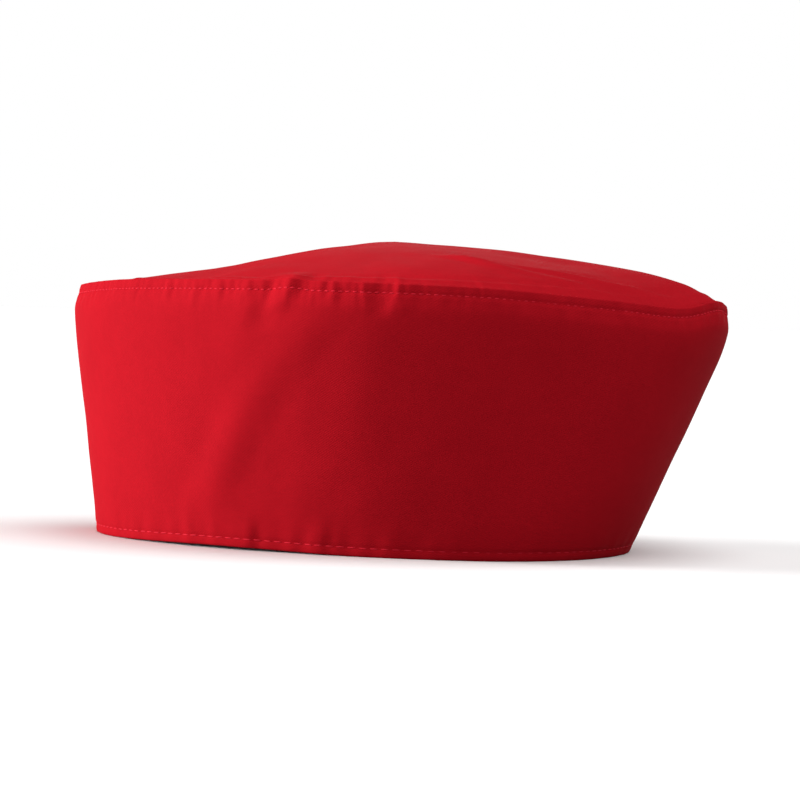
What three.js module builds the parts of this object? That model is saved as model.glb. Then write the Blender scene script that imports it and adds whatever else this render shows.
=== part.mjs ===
// Chef skull cap: an oval crown set into a band that leans out towards its top.
// Millimetres, +Z up, the front towards -Y, the wearer's left side towards +X.
// The hem lies flat at z = 0, and the origin is under the middle of the cap.
import * as THREE from 'three';
import { LoftGeometry } from 'three/addons/geometries/LoftGeometry.js';
import { mergeVertices } from 'three/addons/utils/BufferGeometryUtils.js';

// Plans of the cap, with the length from front to back. A square of 2 is an ellipse and
// more is boxier, less comes to a blunt point. The egg is the share by which the back end is wider than the middle.
const hemPlan = {
  length: 206,
  width: 151,
  forward: 12.3,
  egg: 0.08,
  frontSquare: 1.95,
  backSquare: 2.4,
};
const topPlan = {
  length: 255,
  width: 206,
  forward: 0,
  egg: 0.13,
  frontSquare: 1.78,
  backSquare: 1.9,
};

// Band: one strip of cloth, turned up inside as a narrow hem. The hem lifts a little off
// the floor at both sides, and the wall tucks in just under the seam.
const bandHeight = 98;
const hemLift = 2;
const hemLiftTurn = 90;
const hemLiftSpread = 45;
const seamTuck = 1.7;
const bandCloth = 1.5;
const bandFold = 0.8;
const hemTurn = 5.5;
const hemCloth = 0.9;

// Crown: one layer, its edge turned down inside the band
const crownRise = 14.6;
const crownCloth = 1;
const crownFold = 0.7;
const seamAllowance = 9;
const seamGap = 0.3;

// The tallest ridge or deepest hollow that a fold makes
const foldRelief = 2;

// Look of the cloth
const bandRed = 0xc4141f;
const crownRed = 0xc71822;
const clothRoughness = 0.85;

// Steps round the cap, up the band and out across the crown
const stations = 112;
const besideStep = 0.5;
const bandSteps = [0.2, 0.4, 0.55, 0.68, 0.78, 0.85, 0.9, 0.95];
const crownSteps = [0, 0.2, 0.38, 0.53, 0.67, 0.79, 0.88, 0.95];

// Height of the seam, as a share of the band's height. The turn goes from 0 at the front
// past 90 at either side to 180 at the back.
const seamSections = [
  { turn: 0, height: 0.953 },
  { turn: 45, height: 0.985 },
  { turn: 90, height: 1 },
  { turn: 135, height: 0.985 },
  { turn: 180, height: 0.931 },
];

// How far the wall has leaned out from the hem's plan to the top's, going up the band, and
// how much of the tuck it has taken
const wallSections = [
  { up: 0, lean: 0, tuck: 0 },
  { up: 0.4, lean: 0.46, tuck: 0 },
  { up: 0.7, lean: 0.81, tuck: 0 },
  { up: 0.82, lean: 0.94, tuck: 0 },
  { up: 0.9, lean: 1, tuck: 0.05 },
  { up: 0.95, lean: 1, tuck: 0.33 },
  { up: 1, lean: 1, tuck: 1 },
];

// How much of its rise the crown has reached, from the middle out to the rim
const crownSections = [
  { out: 0, front: 1, side: 1, back: 1 },
  { out: 0.25, front: 0.78, side: 0.92, back: 0.92 },
  { out: 0.5, front: 0.47, side: 0.73, back: 0.75 },
  { out: 0.75, front: 0.18, side: 0.41, back: 0.55 },
  { out: 0.9, front: 0.05, side: 0.16, back: 0.3 },
  { out: 1, front: 0, side: 0, back: 0 },
];

// Folds of the band. The turn goes from the front by the left side to the back, and on by
// the right side. A fold starts at its turn, drifts by some degrees on its way, spreads
// to both sides, and stands out or in by its relief, a share of the tallest fold.
const bandFolds = [
  { turn: 70, drift: 10, spread: 11, from: -0.1, to: 1.1, relief: 0.4 },
  { turn: 82, drift: 5, spread: 6, from: 0.76, to: 1.08, relief: -0.4 },
  { turn: 87, drift: 7, spread: 6, from: 0.76, to: 1.08, relief: 0.4 },
  { turn: 109, drift: 2, spread: 6, from: 0.85, to: 1.08, relief: -0.4 },
  { turn: 132, drift: 10, spread: 24, from: 0, to: 0.95, relief: -0.35 },
  { turn: 80, drift: 0, spread: 7, from: -0.12, to: 0.16, relief: 0.3 },
  { turn: 262, drift: -10, spread: 24, from: 0, to: 0.95, relief: -0.4 },
  { turn: 304, drift: 8, spread: 20, from: -0.1, to: 1.1, relief: 0.4 },
];

// Folds of the crown, in the same way, running from near the middle out to the rim
const crownFolds = [
  { turn: 60, drift: -12, spread: 14, from: 0.45, to: 1.04, relief: -0.5 },
  { turn: 79, drift: -11, spread: 9, from: 0.45, to: 1.04, relief: 0.5 },
  { turn: 129, drift: 15, spread: 7, from: 0.5, to: 1.03, relief: 0.45 },
  { turn: 124, drift: 32, spread: 7, from: 0.55, to: 1.03, relief: 0.5 },
  { turn: 120, drift: 54, spread: 8, from: 0.55, to: 1.03, relief: 0.45 },
  { turn: 236, drift: -8, spread: 14, from: 0.3, to: 1.02, relief: 0.5 },
  { turn: 292, drift: 10, spread: 15, from: 0.3, to: 1.02, relief: -0.5 },
];

// A smooth curve through a table's rows
function through(rows, place, value, at) {
  const slope = (i) => {
    const before = rows[Math.max(i - 1, 0)];
    const after = rows[Math.min(i + 1, rows.length - 1)];
    return (after[value] - before[value]) / (after[place] - before[place]);
  };
  let i = 0;
  while (i < rows.length - 2 && rows[i + 1][place] < at) i += 1;
  const span = rows[i + 1][place] - rows[i][place];
  const t = THREE.MathUtils.clamp((at - rows[i][place]) / span, 0, 1);
  const blend = THREE.MathUtils.smoothstep(t, 0, 1);
  const pull = (1 - t) * slope(i) - t * slope(i + 1);
  return THREE.MathUtils.lerp(rows[i][value], rows[i + 1][value], blend) + t * (1 - t) * span * pull;
}

// A hump that is 1 in its middle and gone at -1 and 1
function hump(at) {
  return Math.abs(at) < 1 ? (1 + Math.cos(Math.PI * at)) / 2 : 0;
}

// 1 along most of a fold, easing to nothing at its two ends
function alongFold(at) {
  const ease = 0.3;
  return THREE.MathUtils.smoothstep(at, 0, ease) * THREE.MathUtils.smoothstep(1 - at, 0, ease);
}

function foldsAt(folds, turn, share) {
  const reach = folds.map((fold) => {
    const along = (share - fold.from) / (fold.to - fold.from);
    const middle = fold.turn + fold.drift * along;
    const aside = THREE.MathUtils.euclideanModulo(turn - middle + 180, 360) - 180;
    return fold.relief * hump(aside / fold.spread) * alongFold(along);
  });
  return foldRelief * reach.reduce((sum, one) => sum + one, 0);
}

function planPoint(plan, turn) {
  const angle = THREE.MathUtils.degToRad(turn);
  const frontness = THREE.MathUtils.smoothstep((1 + Math.cos(angle)) / 2, 0, 1);
  const square = THREE.MathUtils.lerp(plan.backSquare, plan.frontSquare, frontness);
  const halfLength = plan.length / 2;
  const along = Math.abs(Math.cos(angle) / halfLength) ** square;
  const across = Math.abs(Math.sin(angle) / (plan.width / 2)) ** square;
  const reach = (along + across) ** (-1 / square);
  const y = -reach * Math.cos(angle);
  const x = reach * Math.sin(angle) * (1 + (plan.egg * y) / halfLength);
  return new THREE.Vector2(x, y - plan.forward);
}

// Degrees from the front, by whichever side is nearer
function fromFront(turn) {
  const around = THREE.MathUtils.euclideanModulo(turn, 360);
  return Math.min(around, 360 - around);
}

function seamHeight(turn) {
  const mirrored = [
    { turn: -seamSections[1].turn, height: seamSections[1].height },
    ...seamSections,
    { turn: 360 - seamSections.at(-2).turn, height: seamSections.at(-2).height },
  ];
  return bandHeight * through(mirrored, 'turn', 'height', fromFront(turn));
}

function hemHeight(turn) {
  return hemLift * hump((fromFront(turn) - hemLiftTurn) / hemLiftSpread);
}

// A point of the band's wall: up by a share of the wall and some way above that, and in by
// a depth from its outer face
function wallPoint(turn, up, above, depth) {
  const floor = hemHeight(turn);
  const height = seamHeight(turn) - floor;
  const share = up + above / height;
  const lean = through(wallSections, 'up', 'lean', share);
  const inward = depth + seamTuck * through(wallSections, 'up', 'tuck', share);
  const face = (at) => planPoint(hemPlan, at).lerp(planPoint(topPlan, at), lean);
  const along = face(turn + besideStep).sub(face(turn - besideStep)).normalize();
  const out = new THREE.Vector2(along.y, -along.x);
  const point = face(turn).addScaledVector(out, foldsAt(bandFolds, turn, share) - inward);
  return new THREE.Vector3(point.x, point.y, floor + share * height);
}

// A point of the crown's top face, out from its middle to the rim, and down by a depth
function crownPoint(turn, out, depth) {
  const rim = wallPoint(turn, 1, 0, bandCloth + seamGap);
  const angle = THREE.MathUtils.degToRad(turn);
  const endwise = Math.cos(angle);
  const front = through(crownSections, 'out', 'front', out);
  const side = through(crownSections, 'out', 'side', out);
  const back = through(crownSections, 'out', 'back', out);
  const ends = ((front + back) / 2) * endwise + (front - back) / 2;
  const risen = side * (1 - endwise ** 2) + ends * endwise;
  const peak = new THREE.Vector3(0, 0, rim.z);
  const point = peak.clone().lerp(rim, out);
  point.z += (bandHeight + crownRise - rim.z) * risen + foldsAt(crownFolds, turn, out) - depth;
  return point;
}

// One closed ring of points round the cap
function ring(place) {
  return Array.from({ length: stations }, (_, i) => place((360 * i) / stations));
}

function clothMesh(name, sections, color) {
  const loft = new LoftGeometry(sections);
  const surface = new THREE.BufferGeometry();
  surface.setIndex(loft.index);
  surface.setAttribute('position', loft.getAttribute('position'));
  const geometry = mergeVertices(surface);
  geometry.computeVertexNormals();
  const cloth = new THREE.MeshStandardMaterial({ color, roughness: clothRoughness, metalness: 0 });
  const mesh = new THREE.Mesh(geometry, cloth);
  mesh.name = name;
  return mesh;
}

function makeBand() {
  const wall = (up, above, depth) => ring((turn) => wallPoint(turn, up, above, depth));
  const hemDepth = bandCloth + hemCloth;
  const sections = [
    wall(0, 0, 0),
    ...bandSteps.map((up) => wall(up, 0, 0)),
    wall(1, -bandFold, 0),
    wall(1, 0, bandCloth / 3),
    wall(1, 0, (2 * bandCloth) / 3),
    wall(1, -bandFold, bandCloth),
    ...bandSteps.toReversed().map((up) => wall(up, 0, bandCloth)),
    wall(0, hemTurn, bandCloth),
    wall(0, hemTurn - hemCloth, hemDepth),
    wall(0, 0, hemDepth),
    wall(0, 0, 0),
  ];
  return clothMesh('band', sections, bandRed);
}

function makeCrown() {
  const outerDepth = bandCloth + seamGap;
  const innerDepth = outerDepth + crownCloth;
  const panel = (out, depth) => ring((turn) => crownPoint(turn, out, depth));
  const edge = (above, depth) => ring((turn) => wallPoint(turn, 1, above, depth));
  const sections = [
    ...crownSteps.map((out) => panel(out, crownCloth)),
    edge(-crownCloth - crownFold, innerDepth),
    edge(-seamAllowance, innerDepth),
    edge(-seamAllowance, outerDepth),
    edge(-seamAllowance / 2, outerDepth),
    edge(-crownFold, outerDepth),
    edge(0, outerDepth + crownFold),
    ...crownSteps.toReversed().map((out) => panel(out, 0)),
  ];
  return clothMesh('crown', sections, crownRed);
}

const cap = new THREE.Group();
cap.add(makeBand(), makeCrown());

export default cap;
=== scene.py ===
from math import cos, exp, pi, radians, sin, tau

import bmesh
import bpy
from mathutils import Matrix, Vector, noise


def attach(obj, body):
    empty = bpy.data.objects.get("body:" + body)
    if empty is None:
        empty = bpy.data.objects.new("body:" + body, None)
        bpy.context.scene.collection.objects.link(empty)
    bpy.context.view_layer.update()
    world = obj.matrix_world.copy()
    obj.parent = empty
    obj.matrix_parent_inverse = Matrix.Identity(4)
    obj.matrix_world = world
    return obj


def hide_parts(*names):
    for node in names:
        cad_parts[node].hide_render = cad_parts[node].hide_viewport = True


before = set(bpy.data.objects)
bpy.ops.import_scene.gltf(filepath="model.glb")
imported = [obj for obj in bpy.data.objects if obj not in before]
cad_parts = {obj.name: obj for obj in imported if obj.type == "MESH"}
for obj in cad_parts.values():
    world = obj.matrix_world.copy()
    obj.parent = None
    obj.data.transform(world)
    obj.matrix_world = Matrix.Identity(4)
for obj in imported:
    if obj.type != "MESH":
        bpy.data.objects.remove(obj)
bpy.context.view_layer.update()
print("frame loaded")

mm = 0.001


def table(names, *rows):  # each row becomes a dictionary with the named columns
    return [dict(zip(names.split(), row)) for row in rows]


# The camera stands at the wearer's left, turned towards the back of the cap, and is rolled a little
shot = {
    "target": Vector((0, 4.0 * mm, 54.15 * mm)),
    "distance": 1.5,
    "lens": 180,
    "sensor": 36,
    "farthest": 60,
    "behind": 21.05,
    "above": 1.76,
    "roll": 1.74,
}


def placeCamera():
    lens = bpy.data.cameras.new("camera")
    lens.lens = shot["lens"]
    lens.sensor_width = shot["sensor"]
    lens.clip_end = shot["farthest"]
    camera = bpy.data.objects.new("camera", lens)
    bpy.context.scene.collection.objects.link(camera)
    aim = (
        Matrix.Rotation(radians(90 + shot["behind"]), 4, "Z")
        @ Matrix.Rotation(radians(90 - shot["above"]), 4, "X")
        @ Matrix.Rotation(radians(shot["roll"]), 4, "Z")
    )
    away = aim @ Vector((0, 0, shot["distance"]))
    camera.matrix_world = Matrix.Translation(shot["target"] + away) @ aim
    bpy.context.scene.camera = camera


placeCamera()
print("camera placed")


# The form of the cap. The turn goes from 0 at the front past 90 at the left side to 180 at the
# back. In a plan, front and back say how square the oval is at that end: 2 is an ellipse, more
# is boxier, less comes to a blunt point.
cap = {
    "hemPlan": {
        "length": 0.206, "width": 0.151, "forward": 0.0123, "egg": 0.08, "front": 1.95, "back": 2.4,
    },
    "topPlan": {
        "length": 0.255, "width": 0.206, "forward": 0, "egg": 0.13, "front": 1.78, "back": 1.9,
    },
    "radius": 0.1,  # roughly, for wrinkles round the cap
    "bandHeight": 0.098,
    "hemLift": 1.0 * mm,  # how far the hem's sides stand off the floor
    "hemLiftTurn": 72,
    "hemLiftSpread": 50,
    "seamTuck": 1.7 * mm,  # how far the band is drawn in under the seam
    "seamRise": 0.9 * mm,  # a short lift of the seam at the left side
    "seamRiseTurn": 90,
    "seamRiseSpread": 6,
    "crownRise": 15.4 * mm,
    "rimDepth": 1.8 * mm,
    "seamRows": table(
        "turn height tuck",
        (-45, 0.985, 1), (0, 0.953, 1), (45, 0.985, 1), (90, 1, 0.9), (128, 0.995, 0.45),
        (154, 0.962, 0.4), (168, 0.942, 0.45), (180, 0.97, 0.65), (192, 0.942, 0.45),
    ),
    "wallRows": table(
        "up lean tuck",
        (0, 0, 0), (0.4, 0.46, 0), (0.7, 0.81, 0), (0.82, 0.94, 0), (0.9, 1, 0.05),
        (0.95, 1, 0.33), (1, 1, 1),
    ),
    "crownRows": table(
        "out front side back",
        (0, 1, 1, 1), (0.08, 0.94, 0.98, 0.99), (0.25, 0.72, 0.9, 0.93), (0.5, 0.43, 0.71, 0.76),
        (0.75, 0.16, 0.4, 0.55), (0.9, 0.05, 0.16, 0.32), (0.96, 0.01, 0.05, 0.13), (1, 0, 0, 0),
    ),
}


def smooth(t):
    t = min(max(t, 0), 1)
    return t * t * (3 - 2 * t)


def through(rows, place, value, at):  # a smooth curve through a table's rows
    def slope(i):
        before, after = rows[max(i - 1, 0)], rows[min(i + 1, len(rows) - 1)]
        return (after[value] - before[value]) / (after[place] - before[place])

    i = 0
    while i < len(rows) - 2 and rows[i + 1][place] < at:
        i += 1
    span = rows[i + 1][place] - rows[i][place]
    t = min(max((at - rows[i][place]) / span, 0), 1)
    pull = (1 - t) * slope(i) - t * slope(i + 1)
    straight = rows[i][value] + (rows[i + 1][value] - rows[i][value]) * smooth(t)
    return straight + t * (1 - t) * span * pull


def hump(at):  # 1 in the middle and nothing from -1 and 1 outwards
    return (1 + cos(pi * at)) / 2 if abs(at) < 1 else 0


def bell(at):
    return exp(-at * at)


def planPoint(plan, turn):
    angle = radians(turn)
    square = plan["back"] + (plan["front"] - plan["back"]) * smooth((1 + cos(angle)) / 2)
    long, wide = plan["length"] / 2, plan["width"] / 2
    reach = (abs(cos(angle) / long) ** square + abs(sin(angle) / wide) ** square) ** (-1 / square)
    y = -reach * cos(angle)
    return Vector((reach * sin(angle) * (1 + plan["egg"] * y / long), y - plan["forward"], 0))


def planRun(plan, turn):  # the way the plan's edge runs at a turn
    step = 0.5
    return planPoint(plan, turn + step) - planPoint(plan, turn - step)


def shortWay(turn):  # the same turn from -180 to 180
    return (turn + 180) % 360 - 180


def seamRise(turn):
    return cap["seamRise"] * hump((turn % 360 - cap["seamRiseTurn"]) / cap["seamRiseSpread"])


wallColumns = {}


def columnAt(turn):  # what stays the same all the way up the wall at one turn
    if turn not in wallColumns:
        around = min(turn % 360, 360 - turn % 360)
        lift = cap["hemLift"] * hump((around - cap["hemLiftTurn"]) / cap["hemLiftSpread"])
        height = cap["bandHeight"] * through(cap["seamRows"], "turn", "height", around)
        wallColumns[turn] = {
            "hem": planPoint(cap["hemPlan"], turn),
            "top": planPoint(cap["topPlan"], turn),
            "hemRun": planRun(cap["hemPlan"], turn),
            "topRun": planRun(cap["topPlan"], turn),
            "lift": lift,
            "seam": height + seamRise(turn),
            "tuck": cap["seamTuck"] * through(cap["seamRows"], "turn", "tuck", around),
        }
    return wallColumns[turn]


# Folds of the cloth. A fold goes from low to high as shares of the way up the band, or from the
# crown's middle out to the seam. It starts at its turn, drifts by some degrees on its way,
# spreads to both sides and stands out or in by its relief.
bandFolds = table(
    "turn drift spread low high relief",
    (20, 0, 26, 0.9, 1.25, -1.2 * mm),
    (71, 12, 9, -0.1, 1.1, 0.5 * mm),
    (58, 45, 10, -0.05, 1.05, 0.9 * mm),
    (83, 5, 5, 0.78, 1.1, -0.9 * mm),
    (86, 7, 4, 0.84, 1.1, 0.7 * mm),
    (92, 3, 3, 0.9, 1.12, -0.6 * mm),
    (109, 2, 3, 0.86, 1.1, -0.8 * mm),
    (113, 2, 4, 0.86, 1.1, 0.5 * mm),
    (132, 10, 24, 0, 0.95, -0.7 * mm),
    (66, 0, 5, -0.12, 0.2, -0.4 * mm),
    (80, 0, 5, -0.12, 0.14, 0.4 * mm),
    (102, 0, 4, -0.12, 0.14, 0.4 * mm),
    (262, -10, 24, 0, 0.95, -0.8 * mm),
    (304, 8, 20, -0.1, 1.1, 0.8 * mm),
)
crownFolds = table(
    "turn drift spread low high relief",
    (66, -6, 9, 0.7, 1.04, -0.5 * mm),
    (88, 0, 6, 0.88, 1.04, 0.5 * mm),
    (129, 15, 5, 0.5, 1.03, 0.4 * mm),
    (124, 32, 5, 0.55, 1.03, 0.7 * mm),
    (120, 54, 6, 0.55, 1.03, 0.8 * mm),
    (236, -8, 14, 0.3, 1.02, 0.7 * mm),
    (292, 10, 15, 0.3, 1.02, -0.7 * mm),
)


def foldsAt(folds, turn, share):
    ease = 0.3  # the part of its length in which a fold comes up or dies out
    total = 0
    for fold in folds:
        along = (share - fold["low"]) / (fold["high"] - fold["low"])
        if 0 < along < 1:
            aside = shortWay(turn - fold["turn"] - fold["drift"] * along)
            if abs(aside) < fold["spread"]:
                eased = smooth(along / ease) * smooth((1 - along) / ease)
                total += fold["relief"] * hump(aside / fold["spread"]) * eased
    return total


band = {
    "cloth": 0.7 * mm,
    "columns": 780,
    "stripLength": 0.68,  # for the weave
    "join": 218,  # the turn where the strip's two ends meet
    "joinWelt": 0.25 * mm,
    "joinWeltWidth": 5 * mm,
    "joinGroove": 0.45 * mm,
    "joinGrooveWidth": 0.6 * mm,
    "allowance": 10 * mm,
    "hem": 5.5 * mm,
    "seamStitch": 3.5 * mm,
    "hemStitch": 3.2 * mm,
    "stitchGroove": 0.3 * mm,
    "stitchGrooveWidth": 0.8 * mm,
    "waves": table("relief stretch size seed", (0.7 * mm, 0.5, 0.045, 3), (0.3 * mm, 1, 0.018, 7)),
    "seamPuckers": {
        "relief": 0.65 * mm, "away": 2.5 * mm, "reach": 5 * mm, "stretch": 0.25, "size": 0.0026, "seed": 11,
    },
    "hemPuckers": {
        "relief": 0.4 * mm, "away": 4 * mm, "reach": 6 * mm, "stretch": 0.25, "size": 0.007, "seed": 17,
    },
}


def ringNoise(turn, height, size, seed):  # noise that closes on itself round the cap
    angle = radians(turn)
    ring = cap["radius"] / size
    return noise.noise(Vector((ring * cos(angle) + seed, ring * sin(angle) - seed, height / size)))


def wrinkles(kind, turn, height):
    return kind["relief"] * ringNoise(turn, height * kind["stretch"], kind["size"], kind["seed"])


def puckers(kind, turn, height):  # wrinkles that die out away from a row of stitches
    return bell((height - kind["away"]) / kind["reach"]) * wrinkles(kind, turn, height)


def bandRelief(turn, share, height):
    fromHem, fromSeam = share * height, (1 - share) * height
    relief = foldsAt(bandFolds, turn, share)
    for wave in band["waves"]:
        relief += wrinkles(wave, turn, fromHem)
    # cloth drawn in and puckered by the two rows of stitches
    seamPull = bell((fromSeam - band["seamStitch"]) / band["stitchGrooveWidth"])
    hemPull = bell((fromHem - band["hemStitch"]) / band["stitchGrooveWidth"])
    relief -= band["stitchGroove"] * (seamPull + hemPull)
    relief += puckers(band["seamPuckers"], turn, fromSeam)
    relief += puckers(band["hemPuckers"], turn, fromHem)
    # the join of the strip's two ends
    aside = radians(shortWay(turn - band["join"])) * cap["radius"]
    relief += band["joinWelt"] * bell(aside / band["joinWeltWidth"])
    relief -= band["joinGroove"] * bell(aside / band["joinGrooveWidth"])
    return relief


# A point of the band's wall: a share of the way up, some way above that, and some depth inside
# the outer face. The folds can be faded by a share.
def wallPoint(turn, share, above, depth, folded=1):
    column = columnAt(turn)
    height = column["seam"] - column["lift"]
    share += above / height
    lean = through(cap["wallRows"], "up", "lean", share)
    inward = depth + column["tuck"] * through(cap["wallRows"], "up", "tuck", share)
    outward = folded * bandRelief(turn, share, height) - inward
    run = column["hemRun"].lerp(column["topRun"], lean).normalized()
    point = column["hem"].lerp(column["top"], lean) + Vector((run.y, -run.x, 0)) * outward
    point.z = column["lift"] + share * height
    return point


def spread(start, end, step):  # even steps between two values, without the last
    count = max(1, round(abs(end - start) / step))
    return [start + (end - start) * i / count for i in range(count)]


# Rows of the band's cut, each a share up the wall, a way above that and a depth. They run up the
# outer face, over the top fold and down the inside to the turned-up hem and the bottom fold.
def bandRows():
    cloth, hem, allowance = band["cloth"], band["hem"], band["allowance"]
    double = 2 * cloth
    edge = 0.3 * mm  # how round a cut edge is
    nearHem, nearSeam = 8 * mm, 9 * mm  # the strips along hem and seam where the rows lie closer
    rows = [(0, above, 0) for above in spread(cloth, nearHem, 0.5 * mm)]
    shares = spread(0, 0.65, 0.03) + spread(0.65, 1, 0.0125)
    rows += [(share, nearHem - (nearHem + nearSeam) * share, 0) for share in shares]
    rows += [(1, -below, 0) for below in spread(nearSeam, 0.5 * mm, 0.45 * mm)]
    for below, depth in ((0.5, 0), (0.23, 0.07), (0.07, 0.23), (0, 0.5), (0.08, 0.85), (0.35, 1.2)):
        rows.append((1, -below * mm, depth * mm))
    rows += [(1, -0.9 * mm, double)]
    rows += [(1, -below, double) for below in spread(2 * mm, allowance - edge, 2 * mm)]
    rows += [(1, edge - allowance, double), (1, -allowance, double - edge), (1, -allowance, cloth)]
    rows += [(share, 0, cloth) for share in spread(0.88, 0.1, 0.07)]
    rows += [(0, hem + 0.6 * mm, cloth), (0, hem, cloth)]
    rows += [(0, hem - 0.1 * mm, double - 0.2 * mm), (0, hem - 0.4 * mm, double)]
    rows += [(0, above, double) for above in spread(hem - 1 * mm, cloth, 0.9 * mm)]
    foldRows = 6
    for i in range(foldRows):
        angle = pi * i / foldRows
        rows.append((0, cloth * (1 - sin(angle)), cloth * (1 + cos(angle))))
    return rows


def newPiece(name, bm, material):
    for face in bm.faces:
        face.smooth = True
    mesh = bpy.data.meshes.new(name)
    bm.to_mesh(mesh)
    bm.free()
    mesh.materials.append(material)
    piece = bpy.data.objects.new(name, mesh)
    bpy.context.scene.collection.objects.link(piece)
    return piece


# The band starts as a flat grid, one column for each turn and one row for each row of the cut.
# It gets the weave's UV while it is flat, is bent round, and its edges are merged.
def makeBand(material):
    rows = bandRows()
    flat = [Vector((wallPoint(90, *row).z, row[2])) for row in rows + rows[:1]]
    reach = [0]
    for a, b in zip(flat, flat[1:]):
        reach.append(reach[-1] + (b - a).length)
    bm = bmesh.new()
    bmesh.ops.create_grid(
        bm, x_segments=band["columns"], y_segments=len(rows), size=0.5, calc_uvs=False
    )
    for vert in bm.verts:
        vert.co = (vert.co.x + 0.5, round((vert.co.y + 0.5) * len(rows)), 0)
    uv = bm.loops.layers.uv.new("cloth")
    for face in bm.faces:
        for loop in face.loops:
            loop[uv].uv = (loop.vert.co.x * band["stripLength"], reach[int(loop.vert.co.y)])
    for vert in bm.verts:
        turn = (band["join"] + 360 * round(vert.co.x * band["columns"]) / band["columns"]) % 360
        vert.co = wallPoint(turn, *rows[int(vert.co.y) % len(rows)])
    bmesh.ops.remove_doubles(bm, verts=bm.verts, dist=1e-6)
    bmesh.ops.recalc_face_normals(bm, faces=bm.faces)
    print("band rows", len(rows), "faces", len(bm.faces))
    return newPiece("band_sheet", bm, material)


# Shares of the way from the crown's middle out to the seam say where its relief lies
crown = {
    "cloth": 0.6 * mm,
    "columns": 720,
    "radius": 0.12,
    "allowance": 9 * mm,
    "allowanceOut": 0.3 * mm,  # how far it lies outside the rim
    "bandFoldReach": 0.08,  # how far in the band's folds go on
    "waves": table("relief size x y", (0.7 * mm, 0.04, 5, 1), (0.25 * mm, 0.015, 2, 9)),
    "puckers": {"relief": 0.5 * mm, "stretch": 0.02, "size": 0.005, "seed": 23},
    "puckerReach": 0.06,
    "welt": 0.4 * mm,
    "weltAt": 0.965,
    "weltSpread": 0.014,
    "levelFrom": 0.96,
    "levelTo": 1.02,
}


def crownRelief(turn, out):
    angle = radians(turn)
    away = crown["radius"] * out
    spot = Vector((away * sin(angle), -away * cos(angle), 0))
    relief = foldsAt(crownFolds, turn, out)
    for wave in crown["waves"]:
        shift = Vector((wave["x"], wave["y"], 0))
        relief += wave["relief"] * noise.noise(spot / wave["size"] + shift)
    relief += bell((1 - out) / crown["puckerReach"]) * wrinkles(crown["puckers"], turn, out)
    relief += crown["welt"] * bell((crown["weltAt"] - out) / crown["weltSpread"])
    return relief * smooth((crown["levelTo"] - out) / (crown["levelTo"] - crown["levelFrom"]))


def crownPoint(turn, out, depth):
    folded = bell((1 - out) / crown["bandFoldReach"])
    rim = wallPoint(turn, 1, 0, cap["rimDepth"], folded)
    rim.z -= (1 - folded) * seamRise(turn)
    front = through(cap["crownRows"], "out", "front", out)
    side = through(cap["crownRows"], "out", "side", out)
    back = through(cap["crownRows"], "out", "back", out)
    endwise = cos(radians(turn))
    risen = side * (1 - endwise ** 2) + ((front + back) / 2 * endwise + (front - back) / 2) * endwise
    point = Vector((0, 0, rim.z)).lerp(rim, out)
    top = cap["bandHeight"] + cap["crownRise"]
    point.z += (top - rim.z) * risen + crownRelief(turn, out) - depth
    return point


# Rows of the crown's cut, each a function of the turn. They run from the middle out to the rim,
# down the seam allowance, round its edge, up its inside and back in under the crown.
def crownRows():
    cloth, allowance, outside = crown["cloth"], crown["allowance"], crown["allowanceOut"]
    outs = spread(0.015, 0.7, 0.03) + spread(0.7, 0.9, 0.014) + spread(0.9, 0.985, 0.006)
    rows = [lambda turn, out=out: crownPoint(turn, out, 0) for out in outs + [0.985, 0.992]]
    # ways below the seam and out from the rim's depth
    turned = [(0.12 * mm, 0), (0.4 * mm, 0.2 * mm), (0.9 * mm, 0.28 * mm)]
    turned += [(below, outside) for below in (2 * mm, 5 * mm, allowance - 0.3 * mm)]
    turned += [(allowance, 0.1 * mm)]
    inner = (allowance, allowance - 0.4 * mm, 6 * mm, 3 * mm, 1.5 * mm)
    turned += [(below, outside - cloth) for below in inner]
    for below, out in turned:
        depth = cap["rimDepth"] - out
        rows.append(lambda turn, below=below, depth=depth: wallPoint(turn, 1, -below, depth))
    for out in [0.975, 0.95, 0.92, 0.88] + spread(0.84, 0.04, 0.07):
        rows.append(lambda turn, out=out: crownPoint(turn, out, cloth))
    return rows


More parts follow.
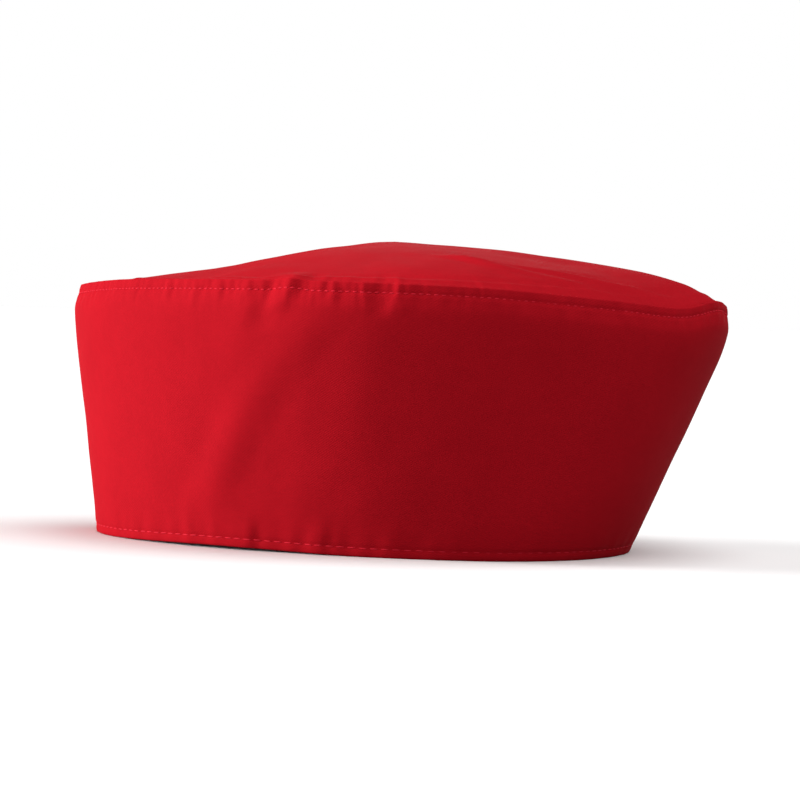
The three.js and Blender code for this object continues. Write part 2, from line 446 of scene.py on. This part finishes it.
# The crown starts as a round fan. Its edge is extruded once for each row, and then every point
# goes to its place.
def makeCrown(material):
    rows = crownRows()
    bm = bmesh.new()
    turnOf = bm.verts.layers.float.new("turn")
    rowOf = bm.verts.layers.int.new("row")
    bmesh.ops.create_circle(
        bm, cap_ends=True, cap_tris=True, segments=crown["columns"], radius=1
    )
    middle = min(bm.verts, key=lambda vert: vert.co.length)
    rim = [vert for vert in bm.verts if vert is not middle]
    rim.sort(key=lambda vert: -Vector((0, -1)).angle_signed(vert.co.xy) % tau)
    for i, vert in enumerate(rim):
        vert[turnOf] = 360 * i / crown["columns"]
    edges = [edge for edge in bm.edges if edge.is_boundary]
    for row in range(1, len(rows)):
        grown = bmesh.ops.extrude_edge_only(bm, edges=edges)["geom"]
        for vert in grown:
            if isinstance(vert, bmesh.types.BMVert):
                vert[rowOf] = row
        edges = [edge for edge in grown if isinstance(edge, bmesh.types.BMEdge) and edge.is_boundary]
    for vert in bm.verts:
        if vert is not middle:
            vert.co = rows[vert[rowOf]](round(vert[turnOf], 4))
    middle.co = crownPoint(0, 0, 0)
    last = [vert for vert in bm.verts if vert[rowOf] == len(rows) - 1]
    bmesh.ops.pointmerge(bm, verts=last, merge_co=middle.co - Vector((0, 0, crown["cloth"])))
    uv = bm.loops.layers.uv.new("cloth")
    for face in bm.faces:
        for loop in face.loops:
            loop[uv].uv = (loop.vert.co.y, loop.vert.co.x)
    bm.verts.layers.float.remove(turnOf)
    bm.verts.layers.int.remove(bm.verts.layers.int["row"])
    bmesh.ops.recalc_face_normals(bm, faces=bm.faces)
    print("crown rows", len(rows), "faces", len(bm.faces))
    return newPiece("crown_panel", bm, material)


# Stitches are short lengths of thread half sunk in the cloth, deeper round the sunk turn
stitching = {
    "thread": 0.46 * mm,
    "sides": 8,
    "seamPitch": 2.65 * mm,
    "seamLength": 1.7 * mm,
    "hemPitch": 4.1 * mm,
    "hemLength": 3.0 * mm,
    "proud": 0.07 * mm,
    "sunkTurn": 145,
    "sunkSpread": 55,
    "sunk": 0.22 * mm,
    "uneven": 0.2,
    "slant": 0.12,
    "stray": 0.1 * mm,
}


def makeStitches(name, pitch, length, place, material):
    around = [place(turn) for turn in range(0, 361)]
    reach = [0]
    for a, b in zip(around, around[1:]):
        reach.append(reach[-1] + (b - a).length)
    count = round(reach[-1] / pitch)
    radius = stitching["thread"] / 2
    bm = bmesh.new()
    i = 0
    for n in range(count):
        at = reach[-1] * n / count
        while reach[i + 1] < at:
            i += 1
        turn = i + (at - reach[i]) / (reach[i + 1] - reach[i])
        half = length / 2 / (reach[i + 1] - reach[i])
        wobble = noise.noise(Vector((n * 1.7, pitch / mm, 0.5)))
        start = place(turn - half * (1 + stitching["uneven"] * wobble))
        end = place(turn + half)
        along = (end - start).normalized()
        outward = along.cross(Vector((0, 0, 1))).normalized()
        up = outward.cross(along)
        slant = Matrix.Rotation(stitching["slant"] * wobble, 3, outward)
        along, up = slant @ along, slant @ up
        basis = Matrix((outward, up, along)).transposed().to_4x4()
        size = Matrix.Diagonal((radius, radius, (end - start).length / 2, 1))
        sunk = stitching["sunk"] * hump((turn - stitching["sunkTurn"]) / stitching["sunkSpread"])
        middle = (start + end) / 2 + outward * (stitching["proud"] - sunk)
        middle += up * stitching["stray"] * wobble
        bmesh.ops.create_uvsphere(
            bm, u_segments=stitching["sides"], v_segments=stitching["sides"], radius=1,
            matrix=Matrix.Translation(middle) @ basis @ size,
        )
    bmesh.ops.recalc_face_normals(bm, faces=bm.faces)
    print(name, count, "stitches")
    return newPiece(name, bm, material)


def node(tree, kind, **values):
    made = tree.nodes.new(kind)
    for key, value in values.items():
        if key in made.inputs:
            made.inputs[key].default_value = value
        else:
            setattr(made, key, value)
    return made


def setSockets(made, values):
    for key, value in values.items():
        made.inputs[key].default_value = value


def newMaterial(name, values):
    material = bpy.data.materials.new(name)
    material.use_nodes = True
    tree = material.node_tree
    shader = tree.nodes["Principled BSDF"]
    setSockets(shader, values)
    return material, tree, shader


def blendTones(tree, share, first, second):  # sockets 6 and 7 are the Mix node's two colours
    mix = node(tree, "ShaderNodeMix", data_type="RGBA")
    setSockets(mix, {6: (*first, 1), 7: (*second, 1)})
    tree.links.new(share, mix.inputs[0])
    return mix.outputs[2]


# Cloth: red twill, a little mottled
clothLook = {
    "red": (0.42, 0.005, 0.012),
    "dark": (0.36, 0.004, 0.010),
    "roughness": 0.85,
    "gloss": 0.03,
    "bandSheen": 0.04,
    "crownSheen": 0.045,
    "sheenRoughness": 0.2,
    "sheenTint": (1, 0.55, 0.55),
    "waleWidth": 0.8 * mm,
    "waleAngle": 58,
    "waleWander": 0.6,
    "waleShare": 0.25,
    "waleRelief": 0.08 * mm,
    "waleStrength": 0.35,
    "mottleScale": 260,
    "mottleShare": 0.5,
    "patchScale": 40,
    "patchShare": 0.5,
    "darkUpTo": 0.35,
    "redFrom": 0.9,
    "grainRelief": 0.15 * mm,
    "grainStrength": 0.25,
}


def clothMaterial(name, sheen):
    look = clothLook
    material, tree, shader = newMaterial(name, {
        "Roughness": look["roughness"],
        "Specular IOR Level": look["gloss"],
        "Sheen Weight": sheen,
        "Sheen Roughness": look["sheenRoughness"],
        "Sheen Tint": (*look["sheenTint"], 1),
    })
    links = tree.links
    # wales across the cloth, from its flat pattern
    uv = node(tree, "ShaderNodeUVMap", uv_map="cloth")
    turned = node(tree, "ShaderNodeMapping", Rotation=(0, 0, radians(look["waleAngle"])))
    wales = node(tree, "ShaderNodeTexWave", wave_type="BANDS", bands_direction="X", wave_profile="SIN")
    setSockets(wales, {
        "Scale": pi / 10 / look["waleWidth"],
        "Distortion": look["waleWander"],
        "Detail": 1,
        "Detail Scale": 2,
    })
    links.new(uv.outputs["UV"], turned.inputs["Vector"])
    links.new(turned.outputs["Vector"], wales.inputs["Vector"])
    # fine mottle and wider patches
    place = node(tree, "ShaderNodeTexCoord")
    mottle = node(tree, "ShaderNodeTexNoise", Scale=look["mottleScale"], Detail=3, Roughness=0.6)
    patches = node(tree, "ShaderNodeTexNoise", Scale=look["patchScale"], Detail=2, Roughness=0.5)
    links.new(place.outputs["Object"], mottle.inputs["Vector"])
    links.new(place.outputs["Object"], patches.inputs["Vector"])
    # the three make one tone between dark and red
    total = 0
    for source, share in ((patches, "patchShare"), (mottle, "mottleShare"), (wales, "waleShare")):
        added = node(tree, "ShaderNodeMath", operation="MULTIPLY_ADD")
        setSockets(added, {1: look[share], 2: 0})
        links.new(source.outputs["Fac"], added.inputs[0])
        if total:
            links.new(total, added.inputs[2])
        total = added.outputs[0]
    tone = node(tree, "ShaderNodeMapRange")
    setSockets(tone, {"From Min": look["darkUpTo"], "From Max": look["redFrom"]})
    links.new(total, tone.inputs["Value"])
    colour = blendTones(tree, tone.outputs["Result"], look["dark"], look["red"])
    links.new(colour, shader.inputs["Base Color"])
    # relief of the wales and grain
    bump = node(tree, "ShaderNodeBump", Strength=look["waleStrength"], Distance=look["waleRelief"])
    grain = node(tree, "ShaderNodeBump", Strength=look["grainStrength"], Distance=look["grainRelief"])
    links.new(wales.outputs["Fac"], bump.inputs["Height"])
    links.new(mottle.outputs["Fac"], grain.inputs["Height"])
    links.new(bump.outputs["Normal"], grain.inputs["Normal"])
    links.new(grain.outputs["Normal"], shader.inputs["Normal"])
    return material


threadLook = {
    "dark": (0.5, 0.009, 0.02),
    "light": (0.7, 0.02, 0.045),
    "roughness": 0.7,
    "gloss": 0.08,
    "twistScale": 900,
}


def threadMaterial():
    material, tree, shader = newMaterial("thread", {
        "Roughness": threadLook["roughness"],
        "Specular IOR Level": threadLook["gloss"],
    })
    place = node(tree, "ShaderNodeTexCoord")
    twist = node(tree, "ShaderNodeTexNoise", Scale=threadLook["twistScale"], Detail=1)
    tree.links.new(place.outputs["Object"], twist.inputs["Vector"])
    colour = blendTones(tree, twist.outputs["Fac"], threadLook["dark"], threadLook["light"])
    tree.links.new(colour, shader.inputs["Base Color"])
    return material


bandTwill = clothMaterial("band_twill", clothLook["bandSheen"])
crownTwill = clothMaterial("crown_twill", clothLook["crownSheen"])
redThread = threadMaterial()

bandPiece = makeBand(bandTwill)
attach(bandPiece, "root")
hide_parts("band")
crownPiece = makeCrown(crownTwill)
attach(crownPiece, "root")
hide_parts("crown")

seamStitches = makeStitches(
    "seam_stitches", stitching["seamPitch"], stitching["seamLength"],
    lambda turn: wallPoint(turn, 1, -band["seamStitch"], 0), redThread,
)
hemStitches = makeStitches(
    "hem_stitches", stitching["hemPitch"], stitching["hemLength"],
    lambda turn: wallPoint(turn, 0, band["hemStitch"], 0), redThread,
)
for stitches in (seamStitches, hemStitches):
    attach(stitches, "root")


# Floor and light. The camera sees the floor lighter than it shines back on the cap.
studio = {
    "floorSize": 8.0,
    "floorGrey": 0.43,
    "floorSeen": 0.9,
    "floorRoughness": 0.9,
    "floorGloss": 0.1,
    "suns": table(
        "name turn rise strength softness",
        ("key", 18.5, 7, 6.25, 25),
        ("top", 180, 71, 2.65, 60),
        ("side", 92, 8, 0.8, 60),
    ),
    "fill": 0.15,
    "sky": 1.0,
}


def makeFloor():
    bm = bmesh.new()
    bmesh.ops.create_circle(bm, cap_ends=True, segments=64, radius=studio["floorSize"])
    material, tree, shader = newMaterial("floor", {
        "Roughness": studio["floorRoughness"],
        "Specular IOR Level": studio["floorGloss"],
    })
    ray = node(tree, "ShaderNodeLightPath")
    grey, seen = [studio["floorGrey"]] * 3, [studio["floorSeen"]] * 3
    colour = blendTones(tree, ray.outputs["Is Camera Ray"], grey, seen)
    tree.links.new(colour, shader.inputs["Base Color"])
    newPiece("floor", bm, material)


def makeLight():
    for sun in studio["suns"]:
        light = bpy.data.lights.new(sun["name"], "SUN")
        light.energy = sun["strength"]
        light.angle = radians(sun["softness"])
        lamp = bpy.data.objects.new(sun["name"], light)
        bpy.context.scene.collection.objects.link(lamp)
        turned = Matrix.Rotation(radians(sun["turn"]), 4, "Z")
        lamp.matrix_world = turned @ Matrix.Rotation(radians(90 - sun["rise"]), 4, "X")
    world = bpy.data.worlds.new("studio")
    bpy.context.scene.world = world
    world.use_nodes = True
    tree = world.node_tree
    tree.nodes.clear()
    white = (1, 1, 1, 1)
    output = node(tree, "ShaderNodeOutputWorld")
    seen = node(tree, "ShaderNodeBackground", Color=white, Strength=studio["sky"])
    fill = node(tree, "ShaderNodeBackground", Color=white, Strength=studio["fill"])
    ray = node(tree, "ShaderNodeLightPath")
    mix = node(tree, "ShaderNodeMixShader")
    tree.links.new(ray.outputs["Is Camera Ray"], mix.inputs[0])
    tree.links.new(fill.outputs[0], mix.inputs[1])
    tree.links.new(seen.outputs[0], mix.inputs[2])
    tree.links.new(mix.outputs[0], output.inputs["Surface"])
    bpy.context.scene.view_settings.view_transform = "Standard"


makeFloor()
makeLight()
print("floor and light placed")
